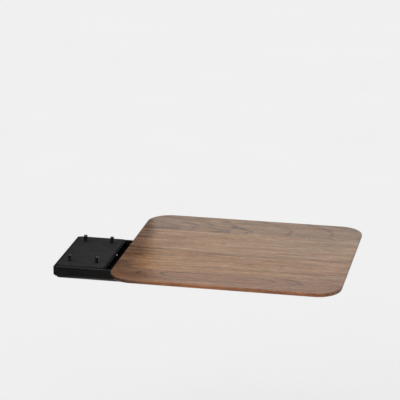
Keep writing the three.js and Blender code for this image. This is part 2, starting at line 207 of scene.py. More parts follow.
def floor_finish():
    """Matt pale paint that a camera below the floor looks through."""
    finish, tree, shader, place = new_finish("studio_paint", studio_white, 1.0, specular=0.0)
    speckle = noise(tree, place, 3.0)
    darker, paler = speckle_range
    wire(tree, shader.inputs["Base Color"], ramp(tree, speckle, (0.3, darker), (0.7, paler)))
    clear = tree.nodes.new("ShaderNodeBsdfTransparent")
    choice = tree.nodes.new("ShaderNodeMixShader")
    below = tree.nodes.new("ShaderNodeNewGeometry").outputs["Backfacing"]
    seen = tree.nodes.new("ShaderNodeLightPath").outputs["Is Camera Ray"]
    wire(tree, choice.inputs[0], maths(tree, "MULTIPLY", below, seen))
    tree.links.new(shader.outputs[0], choice.inputs[1])
    tree.links.new(clear.outputs[0], choice.inputs[2])
    tree.links.new(choice.outputs[0], tree.nodes["Material Output"].inputs["Surface"])
    return finish


floor_mesh.materials.append(floor_finish())

world = bpy.data.worlds.new("studio")
bpy.context.scene.world = world
world.use_nodes = True
sky = world.node_tree
rays = sky.nodes.new("ShaderNodeLightPath")
direct = maths(sky, "MAXIMUM", rays.outputs["Is Camera Ray"], rays.outputs["Is Glossy Ray"])
direct = maths(sky, "MAXIMUM", direct, rays.outputs["Is Transmission Ray"])
backdrop = sky.nodes["Background"]
wire(sky, backdrop.inputs["Color"], mix(sky, direct, (world_level,) * 3, studio_white))
backdrop.inputs["Strength"].default_value = 1.0

sun = bpy.data.objects.new("soft_sun", bpy.data.lights.new("soft_sun", "SUN"))
bpy.context.scene.collection.objects.link(sun)
sun.data.energy = sun_level
sun.data.angle = sun_disc
sun.rotation_euler = sun_place.to_track_quat("Z", "Y").to_euler()
bpy.context.scene.view_settings.view_transform = "Standard"
print("floor at", floor_height, "world", world_level, "sun", sun_level)

# %% [markdown]
# A satin surface only looks satin when it has something to mirror. In a studio that is white all round, it
# would just look pale. So three black flags stand where photographers put them: one behind the left end
# of the board, one lying on the floor in front, and one to the left, where the support would be. Only
# mirror rays see them: they shape the sheen, and take no light away.

# %% Set up the flags
flag_black = (0.02, 0.02, 0.02)


def add_flag(name, corners):
    """A black card with these four corners, which only mirror rays see."""
    mesh = bpy.data.meshes.new(name)
    mesh.from_pydata(corners, [], [(0, 1, 2, 3)])
    mesh.materials.append(new_finish(name + "_cloth", flag_black, 1.0, specular=0.0)[0])
    card = bpy.data.objects.new(name, mesh)
    bpy.context.scene.collection.objects.link(card)
    card.visible_camera = card.visible_diffuse = card.visible_shadow = False
    card.visible_transmission = card.visible_volume_scatter = False


back_left, back_right, back_line, back_foot, back_top = -1.13, 0.071, 0.25, 0.02, 0.62
add_flag("flag_behind", [(back_left, back_line, back_foot), (back_right, back_line, back_foot),
                         (back_right, back_line, back_top), (back_left, back_line, back_top)])
front_reach, front_near, front_far = 6.0, -0.82, -9.0
above_floor = 5 * mm
front_level = floor_height + above_floor
add_flag("flag_in_front", [(-front_reach, front_far, front_level), (front_reach, front_far, front_level),
                           (front_reach, front_near, front_level), (-front_reach, front_near, front_level)])
left_line, left_front, left_back, left_foot, left_top = -0.075, -2.0, 0.5, -0.20, 0.03
add_flag("flag_at_left", [(left_line, left_front, left_foot), (left_line, left_back, left_foot),
                          (left_line, left_back, left_top), (left_line, left_front, left_top)])
print("flags stand behind at", back_line, "left at", left_line, "and lie in front from", front_near)

# %% [markdown]
# ## Surfaces from rings
# Almost every piece here is a stack of closed rings: a board drawn in towards its edge, a bolt turned on a
# lathe, a thread. One helper joins such rings with four-sided faces and closes both ends, another puts the
# mesh in the scene as a piece that rides on the frame and stands for its CAD nodes.

# %% Helpers for meshes and pieces
smooth_below = radians(35)
rounded_above = radians(40)
same_point = 0.0005 * mm


def lofted(name, rings, looped=False, lead=0, lead_from=0):
    """A mesh through a stack of closed rings, with rings[i, j] point j of ring i.

    Points j and j + 1 of rings i and i + 1 make one face. Each end is filled with one face, unless the
    stack is looped, where the last ring joins the first. From ring lead_from on, a ring may end beside the
    start of the ring that lies lead further up, as the turns of a screw do.
    """
    count, around = rings.shape[:2]
    i, j = np.meshgrid(np.arange(count if looped else count - 1), np.arange(around), indexing="ij")
    above, beside = (i + 1) % count, (j + 1) % around
    rise = np.where((beside == 0) & (i >= lead_from), lead, 0)
    corners = [i * around + j, (i + rise) * around + beside,
               (above + rise) * around + beside, above * around + j]
    faces = np.stack(corners, -1)[above + rise < count].tolist()
    if not looped:
        faces += [np.arange(around)[::-1].tolist(), ((count - 1) * around + np.arange(around)).tolist()]
    mesh = bpy.data.meshes.new(name)
    mesh.from_pydata(rings.reshape(-1, 3).tolist(), [], faces)
    return tidied(mesh)


def tidied(mesh):
    """Joins points that coincide, turns all faces outwards and shades soft edges smooth."""
    shell = bmesh.new()
    shell.from_mesh(mesh)
    bmesh.ops.remove_doubles(shell, verts=shell.verts, dist=same_point)
    bmesh.ops.recalc_face_normals(shell, faces=shell.faces)
    shell.to_mesh(mesh)
    shell.free()
    mesh.shade_smooth()
    mesh.set_sharp_from_angle(angle=smooth_below)
    return mesh


def add_piece(name, mesh, finish, slot, *nodes):
    """Puts a mesh in the scene as a piece of the shelf that stands for these CAD nodes."""
    mesh.materials.clear()
    mesh.materials.append(finish)
    piece = bpy.data.objects.new(name, mesh)
    bpy.context.scene.collection.objects.link(piece)
    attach(piece, "root")
    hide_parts(*nodes)
    print(name, "has", len(mesh.polygons), "faces and stands for", *nodes)
    return piece


def drilled(mesh, cutters):
    """A mesh with closed cutters taken out of it."""
    body = bpy.data.objects.new("drilled", mesh)
    bpy.context.scene.collection.objects.link(body)
    tools = []
    for cutter in cutters:
        tool = bpy.data.objects.new("drill", cutter)
        bpy.context.scene.collection.objects.link(tool)
        cut = body.modifiers.new("drill", "BOOLEAN")
        cut.operation = "DIFFERENCE"
        cut.solver = "EXACT"
        cut.object = tool
        tools.append(tool)
    bpy.context.view_layer.update()
    result = bpy.data.meshes.new_from_object(body.evaluated_get(bpy.context.evaluated_depsgraph_get()))
    for thing in (body, *tools):
        bpy.data.objects.remove(thing)
    return tidied(result)


def soften(piece, width, segments):
    """Rounds a piece's sharp edges by a width, as paint leaves them."""
    bevel = piece.modifiers.new("soft_edges", "BEVEL")
    bevel.width = width
    bevel.segments = segments
    bevel.limit_method = "ANGLE"
    bevel.angle_limit = rounded_above
    bevel.use_clamp_overlap = False
    bevel.harden_normals = True


print("mesh helpers ready")

# %% [markdown]
# ## Walnut
# Wood is a solid pattern: growth rings round the tree's heart, cut by the board's faces. So the finish
# works out how far each point lies from the heart line of its stave, and takes the ring from that
# distance. Where the heart line dips through the board, the rings come out as nested arches; where it lies
# far to one side, they come out as straight lines. The board is glued up from four staves, which have four
# heart lines. The same solid pattern runs on over the edges, where the saw crosses the pores.

# %% Which stave a point is in
board_low, board_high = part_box("top_board")
board_middle = (board_low + board_high) / 2
stave_joints = (-140, -13, 110)


def board_place(tree, place):
    """A point in millimetres from the middle of the board's top face, whole and as along, across and up."""
    start = (-1000 * board_middle.x, -1000 * board_middle.y, -1000 * board_high.z)
    place = vector_maths(tree, "MULTIPLY_ADD", place, (1000, 1000, 1000), start)
    parts = tree.nodes.new("ShaderNodeSeparateXYZ")
    wire(tree, parts.inputs[0], place)
    return place, *parts.outputs


def by_stave(tree, across, *values):
    """One number for each stave, from the near edge to the far edge."""
    total = values[0]
    for joint, before, after in zip(stave_joints, values, values[1:]):
        beyond = maths(tree, "GREATER_THAN", across, joint)
        total = maths(tree, "MULTIPLY_ADD", beyond, after - before, total)
    return total


def grain(tree, wood, along_scale, across_scale, gain, detail=2):
    """Noise drawn out along the grain, from about -gain / 5 to gain / 5, with its scales in 1 / mm."""
    stretched = vector_maths(tree, "MULTIPLY", wood, (along_scale, across_scale, across_scale))
    centred = maths(tree, "SUBTRACT", noise(tree, stretched, 1.0, detail, 0.55), 0.5)
    return maths(tree, "MULTIPLY", centred, gain)


def spot(tree, along, across, middle, reach):
    """One in the middle of an oval, falling to nothing at its rim."""
    x = maths(tree, "DIVIDE", maths(tree, "SUBTRACT", along, middle[0]), reach[0])
    y = maths(tree, "DIVIDE", maths(tree, "SUBTRACT", across, middle[1]), reach[1])
    square = maths(tree, "MULTIPLY_ADD", x, x, maths(tree, "MULTIPLY", y, y))
    return spread(tree, square, 0, 1, 1, 0)


print("staves part at", stave_joints, "mm across")

# %% [markdown]
# Rings have their own rhythm: each one starts pale in spring and ends in a thin dark line in autumn, and
# some years are darker than others. A random number for each ring gives that, and a slow noise lets every
# line fade in and out along its length.
#
# Each row of numbers below has one for each stave, from the near edge to the far edge. Lengths are in
# millimetres, and places are measured from the middle of the board's top. A heart line runs along the board
# at heart_across, and lies heart_depth below its top at heart_start. From there its depth changes by a slope
# and a bow.

# %% Rings and veins
heart_across = (-160, -420, 330, 134)
heart_start = (-15, 0, 0, -262)
heart_depth = (12, 70, 60, 0)
heart_slope = (0.0, 0.05, 0.04, 0.30)
heart_bow = (0.0007, 0, 0, 0)
sway_scales = (0.011, 0.03, 0.03)
sway_reach = (14, 12, 12, 45)
first_ring = (3.4, 0, 0, 0)
ring_width = (8.5, 8.5, 7.5, 15.0)
ring_seed = (350, 40, 90, 456)
ring_strength = (1.1, 0.62, 0.55, 1.25)
year_shade = ((0.0, 0.0), (0.56, 0.04), (0.76, 0.32), (0.88, 1.0), (0.95, 0.9), (1.0, 0.0))


def ring_lines(tree, wood, along, across, up):
    """How dark the late wood is at a point, from 0 to 1.

    Depth = depth at the start + slope * way + bow * way squared, with way the distance along the grain
    from the start. Distance = the root of (depth squared + sideways squared). Ring = (distance + a slow
    sway + the first ring's start) / width. Its fraction places the point in the year, and its whole part
    picks the year's strength.
    """
    sideways = maths(tree, "SUBTRACT", across, by_stave(tree, across, *heart_across))
    way = maths(tree, "SUBTRACT", along, by_stave(tree, across, *heart_start))
    slope = maths(tree, "MULTIPLY", way, by_stave(tree, across, *heart_slope))
    bow = maths(tree, "MULTIPLY", way, way)
    bow = maths(tree, "MULTIPLY_ADD", bow, by_stave(tree, across, *heart_bow), slope)
    depth = maths(tree, "ADD", maths(tree, "ADD", up, by_stave(tree, across, *heart_depth)), bow)
    square = maths(tree, "MULTIPLY_ADD", depth, depth, maths(tree, "MULTIPLY", sideways, sideways))
    sway = noise(tree, vector_maths(tree, "MULTIPLY", wood, sway_scales), 1.0, 5, 0.58)
    sway = maths(tree, "SUBTRACT", sway, 0.5)
    distance = maths(tree, "MULTIPLY_ADD", sway, by_stave(tree, across, *sway_reach),
                     maths(tree, "SQRT", square))
    ring = maths(tree, "DIVIDE", maths(tree, "ADD", distance, by_stave(tree, across, *first_ring)),
                 by_stave(tree, across, *ring_width))
    chance = tree.nodes.new("ShaderNodeTexWhiteNoise")
    chance.noise_dimensions = "1D"
    wire(tree, chance.inputs["W"], maths(tree, "ADD", maths(tree, "FLOOR", ring),
                                         by_stave(tree, across, *ring_seed)))
    late = ramp(tree, maths(tree, "FRACT", ring), *year_shade)
    year = spread(tree, chance.outputs["Value"], 0.10, 0.80, 0.16, 1.0)
    fade = spread(tree, grain(tree, wood, 0.016, 0.06, 1.0, 3), -0.12, 0.10, 0.4, 1.0)
    strength = maths(tree, "MULTIPLY", year, by_stave(tree, across, *ring_strength))
    return maths(tree, "MULTIPLY", late, maths(tree, "MULTIPLY", strength, fade))


def vein(tree, wood, along, across, line, width, start, end):
    """A dark vein along the grain that wanders a little and fades in from start to end."""
    wander = maths(tree, "ADD", across, grain(tree, wood, 0.008, 0.02, 16))
    aside = maths(tree, "ABSOLUTE", maths(tree, "SUBTRACT", wander, line))
    return maths(tree, "MULTIPLY", spread(tree, aside, 0, width, 1, 0), spread(tree, along, start, end))


print("rings and veins ready")

# %% [markdown]
# The colour has three parts: a tone for each stave, streaks of several sizes that darken and lighten it,
# and slow clouds that turn it from golden to violet brown. The board gets a little greyer to the right and
# darker towards its right end, and painted shade darkens its left end, as the support beside it would
# shade it. In the table of channels, red, green and blue each have their own share of these, and their own
# tone for each stave.

# %% The walnut's tint
streak_sizes = (
    # scale along and across the grain in 1 / mm, gain and detail
    (0.0035, 0.055, 0.8, 2),
    (0.010, 0.16, 1.0, 2),
    (0.013, 0.42, 1.2, 3),
    (0.05, 0.24, 1.0, 2),
    (0.13, 0.6, 0.9, 2),
    (0.012, 0.03, 0.5, 2),
)
left_end = -225
right_end = 225
grey_from, grey_to = -100, 220
right_from, right_to = 40, 220
# Painted shade at the left end, as the support beside it would cast: how far it reaches and how strong it is
full_shade_until = 0.45
left_shade_reach = (95, 55, 45, 130)
left_painted_shade = (1.35, 1.65, 1.65, 0.75)
right_darkening = (0.2, 0.4, 0.25, 0.18)
channels = (
    # clouds share, streak power, grey share, share of the painted shade and end darkening, tones by stave
    (0.2, 1.0, -0.05, -0.24, (0.255, 0.315, 0.298, 0.230)),
    (-0.2, 1.35, 0.01, -0.23, (0.1175, 0.158, 0.163, 0.1265)),
    (-0.6, 1.9, 0.19, -0.10, (0.0505, 0.062, 0.0740, 0.0590)),
)


def walnut_tint(tree, wood, along, across):
    """The stave's tone times streaks of six sizes, clouds between gold and violet, and painted shade at the
    left.
    """
    shade = 1.0
    for along_scale, across_scale, gain, detail in streak_sizes:
        shade = maths(tree, "ADD", grain(tree, wood, along_scale, across_scale, gain, detail), shade)
    clouds = grain(tree, wood, 0.011, 0.035, 0.8)
    grey = spread(tree, along, grey_from, grey_to)
    # Painted shade towards the left end, plus a darkening towards the right end
    shade_from_left = maths(tree, "DIVIDE", maths(tree, "ADD", along, -left_end),
                      by_stave(tree, across, *left_shade_reach))
    painted_shade_and_end_darkening = maths(tree, "MULTIPLY", spread(tree, shade_from_left, full_shade_until, 1, 1, 0),
                      by_stave(tree, across, *left_painted_shade))
    painted_shade_and_end_darkening = maths(tree, "MULTIPLY_ADD", spread(tree, along, right_from, right_to),
                      by_stave(tree, across, *right_darkening), painted_shade_and_end_darkening)
    tone = tree.nodes.new("ShaderNodeCombineColor")
    for socket, (cloud_share, power, grey_share, shade_and_darkening_share, tones) in zip(tone.inputs, channels):
        level = maths(tree, "MULTIPLY_ADD", clouds, cloud_share, maths(tree, "POWER", shade, power))
        level = maths(tree, "MULTIPLY_ADD", grey, grey_share, level)
        level = maths(tree, "MULTIPLY_ADD", painted_shade_and_end_darkening, shade_and_darkening_share, level)
        wire(tree, socket, maths(tree, "MULTIPLY", level, by_stave(tree, across, *tones)))
    return tone.outputs[0]


print("walnut tint ready, with", len(streak_sizes), "sizes of streaks")

# %% [markdown]
# Two darker veins run through the stave beside the near one, and the stave behind that has a small knot and
# a reddish blush. Pores are short dark dashes, which also dent the lacquer. The sawn edges are richer than
# the faces, and painted shade darkens them towards the left end. The end grain is darkest of all.

# %% Walnut finish
late_colour = (0.070, 0.038, 0.026)
knot_colour = (0.07, 0.035, 0.02)
blush_colour = (0.235, 0.092, 0.050)
pore_colour = (0.060, 0.030, 0.017)
sawn_tint = (1.12, 0.90, 0.78)
# Painted shade along the sawn edges, darkest at the left end
sawn_painted_shade = ((0.0, 0.36), (0.10, 0.44), (0.17, 0.70), (0.33, 1.0))
end_shade = (0.33, 0.33, 0.33)
stave_shift_along = (0, 3100, 7400, 1900)
stave_shift_up = (0, 530, 1270, 2410)
pore_depth = 0.04 * mm


def walnut_finish():
    """Satin lacquered walnut, with each stave's pattern taken from a place of its own."""
    finish, tree, shader, place = new_finish("walnut_satin", (0.24, 0.13, 0.065), 0.33, specular=0.42)
    place, along, across, up = board_place(tree, place)
    shift = tree.nodes.new("ShaderNodeCombineXYZ")
    wire(tree, shift.inputs[0], by_stave(tree, across, *stave_shift_along))
    wire(tree, shift.inputs[2], by_stave(tree, across, *stave_shift_up))
    wood = vector_maths(tree, "ADD", place, shift.outputs[0])

    colour = walnut_tint(tree, wood, along, across)
    late = ring_lines(tree, wood, along, across, up)
    veined = maths(tree, "LESS_THAN", across, stave_joints[1])
    wide = vein(tree, wood, along, across, line=-21, width=9, start=-210, end=60)
    short = vein(tree, wood, along, across, line=-50, width=5, start=-80, end=-140)
    veins = maths(tree, "MULTIPLY_ADD", wide, 0.5, maths(tree, "MULTIPLY", short, 0.6))
    veins = maths(tree, "MULTIPLY", veins, veined)
    facing = tree.nodes.new("ShaderNodeSeparateXYZ")
    wire(tree, facing.inputs[0], tree.nodes.new("ShaderNodeNewGeometry").outputs["Normal"])
    upright = spread(tree, maths(tree, "ABSOLUTE", facing.outputs[2]), 0.5, 0.95, 1, 0)
    dark = maths(tree, "MULTIPLY", maths(tree, "MAXIMUM", late, veins),
                 spread(tree, upright, 0, 1, 0.95, 0.4))
    colour = mix(tree, dark, colour, late_colour)
    knot = maths(tree, "MULTIPLY", spot(tree, along, across, middle=(-40, 40), reach=(9, 4)), 0.5)
    colour = mix(tree, knot, colour, knot_colour)
    blush = maths(tree, "MULTIPLY", spot(tree, along, across, middle=(150, 18), reach=(45, 16)), 0.4)
    colour = mix(tree, blush, colour, blush_colour)

    dashes = noise(tree, vector_maths(tree, "MULTIPLY", wood, (0.11, 1.6, 1.6)), 1.0, 2, 0.6)
    pores = spread(tree, dashes, 0.56, 0.70)
    colour = mix(tree, maths(tree, "MULTIPLY", pores, 0.65), colour, pore_colour)

    # Richer sawn edges, with painted shade that darkens them towards the left end, and darker end grain
    sawn_tint_and_painted_shade = ramp(tree, spread(tree, along, left_end, right_end), *sawn_painted_shade)
    sawn_tint_and_painted_shade = mix(tree, 1.0, sawn_tint_and_painted_shade, sawn_tint, "MULTIPLY")
    colour = mix(tree, upright, colour, mix(tree, 1.0, colour, sawn_tint_and_painted_shade, "MULTIPLY"))
    ends = maths(tree, "MULTIPLY", maths(tree, "ABSOLUTE", facing.outputs[0]), 0.75)
    colour = mix(tree, ends, colour, mix(tree, 1.0, colour, end_shade, "MULTIPLY"))
    wire(tree, shader.inputs["Base Color"], colour)

    streaks = noise(tree, vector_maths(tree, "MULTIPLY", wood, (0.011, 0.42, 0.42)), 1.0, 3, 0.6)
    gloss = spread(tree, streaks, 0.3, 0.7, 0.30, 0.36)
    wire(tree, shader.inputs["Roughness"], maths(tree, "MULTIPLY_ADD", pores, 0.2, gloss))
    bump(tree, shader, maths(tree, "SUBTRACT", maths(tree, "MULTIPLY", streaks, 0.6), pores), pore_depth)
    return finish


walnut = walnut_finish()
print("walnut has", len(walnut.node_tree.nodes), "nodes")

# %% [markdown]
# ## The board
# The plan is a rectangle with four quarter circles. The edge, in section, has a small ease along the top,
# a short upright face and a long bevel underneath that makes the board look thin. Rings through that
# section, each the plan drawn in by an inset, make the whole board as one closed surface. Two of the rings
# lie flat beside each ease: they keep the soft shading at the edge from spreading over the flat faces.

# %% Build the board
board_radius = 48 * mm
least_corner = 3 * mm
edge_height = 7.5 * mm
top_ease = 1.5 * mm
lower_ease = 4.5 * mm
bevel_run = 54 * mm
foot_ease = 1.2 * mm
insert_hole = 6.0 * mm
insert_clearance = 0.3 * mm
drill_overrun = 2 * mm
edge_ring = 0.3 * mm
near_ring = 0.4 * mm
far_ring = 3 * mm
bevel_shares = np.array([0.03, 0.97])
corner_steps = 40


def plan_rings(half_x, half_y, radius, insets, heights, steps=corner_steps, smallest=0.0):
    """Rings of a rectangle with round corners, one for each inset and height.

    A ring that is drawn in by an inset has the radius less that inset, so the corners' centres stay where
    they are until the radius has shrunk to the smallest: point = centre + reach * (cos a, sin a).
    """
    turn = np.linspace(0, pi / 2, steps + 1)
    angle = np.concatenate([turn, turn + pi / 2, turn + pi, turn + 1.5 * pi])
    inset = np.asarray(insets)[:, None]
    reach = np.maximum(radius - inset, smallest)
    x = np.repeat([1, -1, -1, 1], steps + 1) * (half_x - inset - reach) + reach * np.cos(angle)
    y = np.repeat([1, 1, -1, -1], steps + 1) * (half_y - inset - reach) + reach * np.sin(angle)
    return np.stack([x, y, np.broadcast_to(np.asarray(heights)[:, None], x.shape)], -1)


def board_section(top, bottom):
    """The edge in section as insets and heights, from the top face down to the underside.

    Both eases are arcs: inset = e (1 - cos a). The height is e sin a over the arc's centre at the top ease,
    and e sin a under it at the lower one, which turns until it meets the bevel.
    """
    drop = top - bottom - edge_height
    turn = atan2(bevel_run, drop)
    centre = top - edge_height + lower_ease * tan(turn / 2)
    a = np.linspace(pi / 2, 0, 9)
    insets = [top_ease + far_ring, top_ease + near_ring, *(top_ease * (1 - np.cos(a))), 0, 0]
    heights = [top, top, *(top - top_ease * (1 - np.sin(a))),
               top - top_ease - edge_ring, centre + edge_ring]
    a = np.linspace(0, turn, 13)
    insets += [*(lower_ease * (1 - np.cos(a)))]
    heights += [*(centre - lower_ease * np.sin(a))]
    insets += [*(insets[-1] + bevel_shares * (bevel_run - insets[-1]))]
    heights += [*(heights[-1] + bevel_shares * (bottom - heights[-1]))]
    return np.array([*insets, bevel_run + foot_ease, bevel_run + 3 * foot_ease]), \
        np.array([*heights, bottom, bottom])


insets, heights = board_section(board_high.z, board_low.z)
half = (board_high - board_low) / 2
rings = plan_rings(half.x, half.y, board_radius, insets, heights, smallest=least_corner)
board_mesh = lofted("walnut_board", rings + np.array([board_middle.x, board_middle.y, 0]))


def round_drill(x, y, radius, low, high, sides=48):
    """A closed round cutter about an upright axis."""
    turn = np.linspace(0, 2 * pi, sides, endpoint=False)
    ring = np.stack([x + radius * np.cos(turn), y + radius * np.sin(turn)], -1)
    return lofted("drill", np.stack([np.c_[ring, np.full(sides, z)] for z in (low, high)]))


def middle_of(node):
    """Where a CAD node's axis stands: the middle of its box."""
    low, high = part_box(node)
    return (low.x + high.x) / 2, (low.y + high.y) / 2


drill_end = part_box("board_insert_1")[1].z + insert_clearance
drills = [round_drill(*middle_of(f"board_insert_{n}"), insert_hole, board_low.z - drill_overrun, drill_end)
          for n in range(1, 7)]
add_piece("walnut_board", drilled(board_mesh, drills), walnut, "walnut", "top_board")

# %% [markdown]
# ## Black powder coat and rubber
# Powder coat is baked paint: it flows a little before it sets, which leaves a fine orange peel and rounds
# every edge. It is not pure black, and it is only half glossy. The seat's pad is matt rubber.

# %% Powder coat and rubber finishes
coat_dark = (0.0062, 0.0057, 0.0052, 1)
coat_light = (0.0102, 0.0094, 0.0086, 1)
peel_depth = 0.03 * mm
rubber_depth = 0.05 * mm


def powder_finish():
    """Black powder coat: two sizes of soft peel and a slight change of gloss."""
    finish, tree, shader, place = new_finish("black_powder_coat", (0.010, 0.009, 0.008), 0.31, specular=0.45)
    peel = noise(tree, place, 900, 2, 0.6)
    waves = noise(tree, place, 160, 2, 0.5)
    clouds = noise(tree, place, 14, 3, 0.6)
    wire(tree, shader.inputs["Base Color"], ramp(tree, clouds, (0.3, coat_dark), (0.7, coat_light)))
    gloss = spread(tree, maths(tree, "ADD", peel, clouds), 0.6, 1.4, 0.26, 0.35)
    wire(tree, shader.inputs["Roughness"], gloss)
    bump(tree, shader, maths(tree, "MULTIPLY_ADD", waves, 0.8, peel), peel_depth)
    return finish


def rubber_finish():
    """Matt black rubber with a fine grain, a little greyer where dust sits."""
    finish, tree, shader, place = new_finish("rubber", (0.014, 0.014, 0.014), 0.85, specular=0.3)
    fine = noise(tree, place, 1500, 2, 0.7)
    clouds = noise(tree, place, 35, 3, 0.6)
    wire(tree, shader.inputs["Base Color"], ramp(tree, clouds, (0.3, 0.010), (0.7, 0.019)))
    wire(tree, shader.inputs["Roughness"], spread(tree, fine, 0.3, 0.7, 0.78, 0.92))
    bump(tree, shader, fine, rubber_depth)
    return finish


powder = powder_finish()
rubber = rubber_finish()
print("powder coat and rubber ready")

# %% [markdown]
# ## The folded tray
# The tray's form in the CAD model is already right: one sheet with round bends, flanges, slots and corner
# reliefs. A copy of it is merged, its flat areas are joined into whole faces, and its cut edges are
# rounded a little, because powder coat never leaves a sharp edge.

# %% Soften the tray
joined_within = 0.002 * mm
flat_within = radians(0.5)
coat_round = 0.7 * mm


def merged_copy(node, name):
    """A copy of a CAD node's mesh with its loose triangles joined and its flat areas made whole faces."""
    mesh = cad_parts[node].data.copy()
    mesh.name = name
    shell = bmesh.new()
    shell.from_mesh(mesh)
    bmesh.ops.remove_doubles(shell, verts=shell.verts, dist=joined_within)
    bmesh.ops.dissolve_limit(shell, angle_limit=flat_within, verts=shell.verts, edges=shell.edges)
    shell.to_mesh(mesh)
    shell.free()
    return tidied(mesh)


tray = add_piece("folded_tray", merged_copy("bracket_tray", "folded_tray"), powder, "black_powder_coat",
                 "bracket_tray")
soften(tray, coat_round, segments=3)

# %% [markdown]
# ## The seat
# A thick plate and a rubber pad lie under the support. Both are sheets with round corners and four bolt
# holes: rings make the sheet, and a drill makes the holes.

# %% Build the plate and the pad
bolt_places = [middle_of(f"rail_bolt_{n}") for n in range(1, 5)]
sheet_corner = 4 * mm
plate_ease = 0.5 * mm
plate_hole = 4.5 * mm
pad_ease = 0.4 * mm
pad_hole = 5.2 * mm


def seat_sheet(name, node, ease, hole):
    """A sheet as large as its CAD node and centred on the origin, with four holes of this radius.

    Its edges are quarter circles: inset = ease (1 - sin a), with the height rising by ease (1 - cos a).
    """
    low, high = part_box(node)
    a = np.linspace(0, pi / 2, 5)
    edge = ease * (1 - np.sin(a))
    insets = np.array([3 * ease, *edge, *edge[::-1], 3 * ease])
    rise = ease * (1 - np.cos(a))
    heights = np.array([low.z, *(low.z + rise), *(high.z - rise[::-1]), high.z])
    rings = plan_rings((high.x - low.x) / 2, (high.y - low.y) / 2, sheet_corner, insets, heights, 12)
    below, above = low.z - drill_overrun, high.z + drill_overrun
    return drilled(lofted(name, rings), [round_drill(x, y, hole, below, above) for x, y in bolt_places])


add_piece("seat_plate", seat_sheet("seat_plate", "rail_plate", plate_ease, plate_hole), powder,
          "black_powder_coat", "rail_plate")
add_piece("seat_pad", seat_sheet("seat_pad", "rail_pad", pad_ease, pad_hole), rubber, "rubber", "rail_pad")

# %% [markdown]
# ## Black zinc, black oxide and brass
# The bolts and their washers are black zinc, the board screws are blackened steel, and the inserts in the
# wood are brass. All three are metal, so their colour is in what they reflect.

# %% Metal finishes
def metal_finish(name, dark, light, roughness, mark_depth):
    """A metal whose colour and gloss wander a little, with fine turning marks."""
    finish, tree, shader, place = new_finish(name, light, roughness, metallic=1.0)
    clouds = noise(tree, place, 120, 3, 0.6)
    marks = noise(tree, vector_maths(tree, "MULTIPLY", place, (300, 300, 2600)), 1.0, 2, 0.5)
    wire(tree, shader.inputs["Base Color"], ramp(tree, clouds, (0.3, (*dark, 1)), (0.7, (*light, 1))))
    wire(tree, shader.inputs["Roughness"], spread(tree, maths(tree, "ADD", clouds, marks), 0.6, 1.4,
                                                  roughness - 0.07, roughness + 0.09))
    bump(tree, shader, marks, mark_depth)
    return finish


steel_marks = 0.004 * mm
brass_marks = 0.003 * mm
zinc = metal_finish("black_zinc", (0.085, 0.085, 0.090), (0.150, 0.150, 0.155), 0.30, steel_marks)
black_oxide = metal_finish("black_oxide", (0.022, 0.022, 0.024), (0.045, 0.044, 0.043), 0.36, steel_marks)
brass = metal_finish("brass", (0.50, 0.34, 0.12), (0.66, 0.47, 0.19), 0.30, brass_marks)
for n in range(1, 7):
    for material_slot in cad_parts[f"board_insert_{n}"].material_slots:
        material_slot.material = brass
print("metals ready, brass on the six inserts")

# %% [markdown]
# ## Bolts, screws and washers
# A bolt is a stack of rings. In its head a ring's radius depends on the angle, which makes a hexagon. In
# its thread each ring climbs by one pitch in a full turn and joins the start of a later ring, so the edges
# of the mesh run along the screw line. A flat washer turns a small section round a full circle, and a
# spring washer stops short of it, with slanting ends.

# %% Threaded shanks
ring_sides = 60
above_seat = 0.01 * mm
thread_phases = np.array([0, 0.10, 0.26, 0.42, 0.50, 0.58, 0.74, 0.90])
thread_rise = np.array([0, 0, 0.5, 1, 1, 1, 0.5, 0])


def hexagon(turn, flats, softness=48):
    """A hexagon's radius at each angle: half its flats over the largest cosine, with soft corners."""
    towards = np.abs(np.cos(turn[:, None] - np.arange(3) * pi / 3)) ** softness
    return flats / 2 / towards.sum(1) ** (1 / softness)


def stacked(x, y, spin, radii, heights):
    """Rings of points from radii and heights, each one value per ring and angle, turned by spin."""
    turn = np.linspace(0, 2 * pi, radii.shape[1], endpoint=False) + spin
    heights = np.broadcast_to(heights, radii.shape)
    return np.stack([x + radii * np.cos(turn), y + radii * np.sin(turn), heights], -1)


def shank(foot, tip, major, pitch, chamfer):
    """The rings of a threaded shank from just above its head to its tip, as radii and heights.

    Each ring climbs one pitch in a full turn: height = foot + pitch * (phase + angle / 2 pi - 1), held
    between foot and tip. Its radius comes from the thread's section at that phase. The thread runs out
    towards the head, and a cone cuts it off at the tip.
    """
    turns = int(np.ceil((tip - foot) / pitch)) + 2
    phase = (np.arange(turns)[:, None] + thread_phases).ravel()[:, None]
    heights = np.clip(foot + pitch * (phase + np.arange(ring_sides) / ring_sides - 1), foot, tip)
    threaded = major - 0.6 * pitch * (1 - np.tile(thread_rise, turns)[:, None])
    fade = np.clip((heights - foot) / (1.2 * pitch), 0, 1)
    radii = (major - 0.3 * pitch) * (1 - fade) + threaded * fade
    return np.minimum(radii, major - chamfer + tip - heights), heights


def headed(name, x, y, spin, rows, radii, heights):
    """A fastener: the rows of its head, then the rings of its shank."""
    radii = np.r_[[row[0] for row in rows], radii]
    heights = np.r_[[row[1] for row in rows], heights]
    return lofted(name, stacked(x, y, spin, radii, heights), lead=len(thread_phases), lead_from=len(rows))


print("shanks ready, with", ring_sides, "sides")

# %% Bolts
bolt_major, bolt_pitch, bolt_tip = 4 * mm, 1.25 * mm, 1 * mm
bolt_flats = 13 * mm
bolt_face = 6.15 * mm
bolt_slope = radians(30)
dish_floor, dish_rim, dish_depth = 4.2 * mm, 4.7 * mm, 0.35 * mm
dish_middle = 2.0 * mm
bolt_neck = 4.35 * mm
bolt_ease_in, bolt_ease_down = 0.3 * mm, 0.35 * mm


